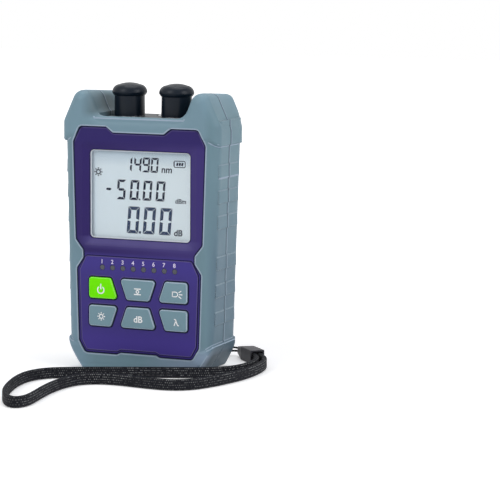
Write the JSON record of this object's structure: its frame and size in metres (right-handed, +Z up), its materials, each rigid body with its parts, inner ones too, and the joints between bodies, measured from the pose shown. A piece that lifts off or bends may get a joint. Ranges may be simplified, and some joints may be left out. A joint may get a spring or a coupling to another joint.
{
  "type": "optical power meter",
  "caption": "Hand-held optical power meter in a horned rubber bumper: two fibre ports under dust caps, a display, keys, status lights and a wrist strap.",
  "frame": {"origin": "middle of the foot's underside, on the surface that the meter stands on", "axes": "+X across the width to the right of someone reading the display, +Y from the display to the back, +Z up towards the fibre ports"},
  "size_m": [0.0859, 0.1452, 0.123],
  "materials": {
    "bumper_rubber": "matt, moulded",
    "case_plastic": "fine satin",
    "deck_plastic": "satin",
    "window_glass": "clear",
    "lcd_glass": "reflective grey",
    "light_plate": "white",
    "dark_plastic": "matt",
    "key_grey": "satin",
    "key_green": "satin",
    "clear_plastic": "smoked clear",
    "board": "solder resist",
    "steel": "plain",
    "plated_metal": "nickel plated",
    "nut_metal": "turned",
    "cap_rubber": "soft gloss",
    "cell_wrap": "foil pouch",
    "strap_fabric": "flat braid",
    "cord_fabric": "thin twisted cord",
    "clamp_plastic": "matt"
  },
  "bodies": {
    "case": {"front_bumper": "bumper_rubber", "rear_bumper": "bumper_rubber", "front_shell": "case_plastic", "rear_shell": "case_plastic", "top_deck": "deck_plastic", "display_window": "window_glass", "lcd_panel": "lcd_glass", "lcd_backlight": "light_plate", "lcd_holder": "dark_plastic", "light_guide": "clear_plastic", "status_leds": "clear_plastic", "main_board": "board", "case_screws": "steel", "board_screws": "steel", "power_port": "plated_metal", "laser_port": "plated_metal", "power_port_nut": "nut_metal", "laser_port_nut": "nut_metal", "detector_module": "steel", "laser_module": "steel", "torch_led": "clear_plastic", "network_jack": "dark_plastic", "jack_contacts": "nut_metal", "usb_socket": "steel", "battery": "cell_wrap", "wrist_strap": "strap_fabric", "strap_cord": "cord_fabric", "strap_clamp": "clamp_plastic", "power_switch": "dark_plastic", "reference_switch": "dark_plastic", "cable_test_switch": "dark_plastic", "backlight_switch": "dark_plastic", "decibel_switch": "dark_plastic", "wavelength_switch": "dark_plastic"},
    "power_key_body": {"power_key": "key_green", "power_plunger": "dark_plastic"},
    "reference_key_body": {"reference_key": "key_grey", "reference_plunger": "dark_plastic"},
    "cable_test_key_body": {"cable_test_key": "key_grey", "cable_test_plunger": "dark_plastic"},
    "backlight_key_body": {"backlight_key": "key_grey", "backlight_plunger": "dark_plastic"},
    "decibel_key_body": {"decibel_key": "key_grey", "decibel_plunger": "dark_plastic"},
    "wavelength_key_body": {"wavelength_key": "key_grey", "wavelength_plunger": "dark_plastic"},
    "power_cap_body": {"power_port_cap": "cap_rubber"},
    "laser_cap_body": {"laser_port_cap": "cap_rubber"}
  },
  "joints": [
    {"name": "power_press", "type": "slide", "parent": "case", "child": "power_key_body", "axis": [0, 1, 0], "range_m": [0, 0.0005], "stiffness_N_per_m": 400},
    {"name": "reference_press", "type": "slide", "parent": "case", "child": "reference_key_body", "axis": [0, 1, 0], "range_m": [0, 0.0005], "stiffness_N_per_m": 400},
    {"name": "cable_test_press", "type": "slide", "parent": "case", "child": "cable_test_key_body", "axis": [0, 1, 0], "range_m": [0, 0.0005], "stiffness_N_per_m": 400},
    {"name": "backlight_press", "type": "slide", "parent": "case", "child": "backlight_key_body", "axis": [0, 1, 0], "range_m": [0, 0.0005], "stiffness_N_per_m": 400},
    {"name": "decibel_press", "type": "slide", "parent": "case", "child": "decibel_key_body", "axis": [0, 1, 0], "range_m": [0, 0.0005], "stiffness_N_per_m": 400},
    {"name": "wavelength_press", "type": "slide", "parent": "case", "child": "wavelength_key_body", "axis": [0, 1, 0], "range_m": [0, 0.0005], "stiffness_N_per_m": 400},
    {"name": "power_cap_lift", "type": "slide", "parent": "case", "child": "power_cap_body", "axis": [0, 0, 1], "range_m": [0, 0.03]},
    {"name": "laser_cap_lift", "type": "slide", "parent": "case", "child": "laser_cap_body", "axis": [0, 0, 1], "range_m": [0, 0.03]}
  ]
}
